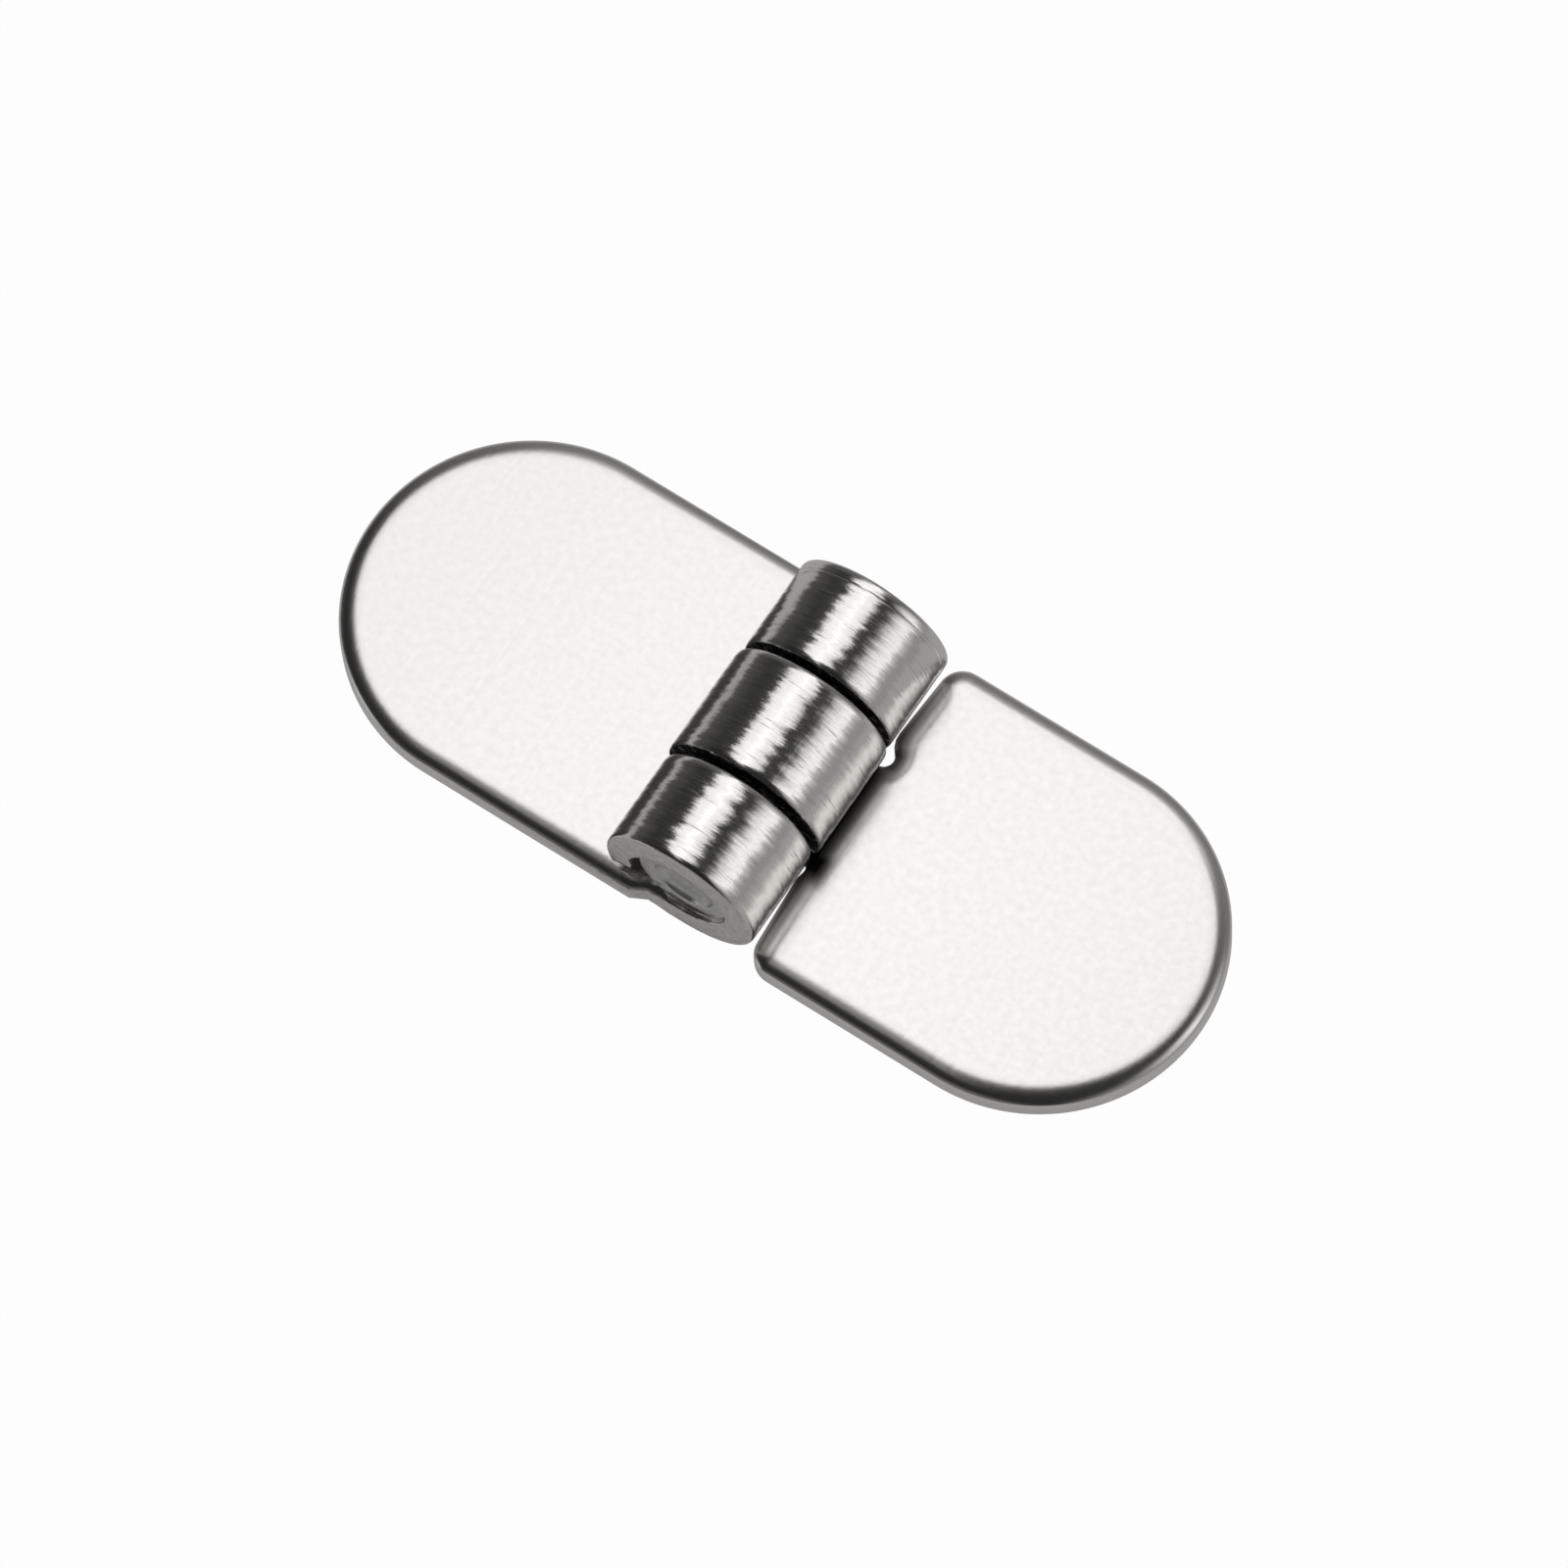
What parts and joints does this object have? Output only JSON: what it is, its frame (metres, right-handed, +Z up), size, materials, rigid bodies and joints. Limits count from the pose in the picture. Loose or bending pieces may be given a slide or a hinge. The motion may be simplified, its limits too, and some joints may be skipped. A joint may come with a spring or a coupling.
{
  "type": "weld-on hinge",
  "caption": "Butt hinge in stainless sheet with rounded leaves for welding, their inner edges curled round one staked pin.",
  "frame": {"origin": "under the pin, on the plane that both leaves lie on, in the middle of the leaves' width", "axes": "+X across the pin towards the swing leaf, +Y along the pin, +Z up from the leaves' flat undersides"},
  "size_m": [0.0574, 0.022, 0.0101],
  "materials": {
    "leaf_steel": "bright tumbled stainless, with fine scratches round the knuckles",
    "pin_steel": "duller cut and punched stainless at the pin ends"
  },
  "bodies": {
    "fixed_side": {"two_knuckle_leaf": "leaf_steel", "hinge_pin": "pin_steel"},
    "swing_side": {"single_knuckle_leaf": "leaf_steel"}
  },
  "joints": [
    {"name": "leaf_swing", "type": "hinge", "parent": "fixed_side", "child": "swing_side", "pos_m": [0, -0.0003, 0.00505], "axis": [0, -1, 0], "range_deg": [-75, 190]}
  ]
}
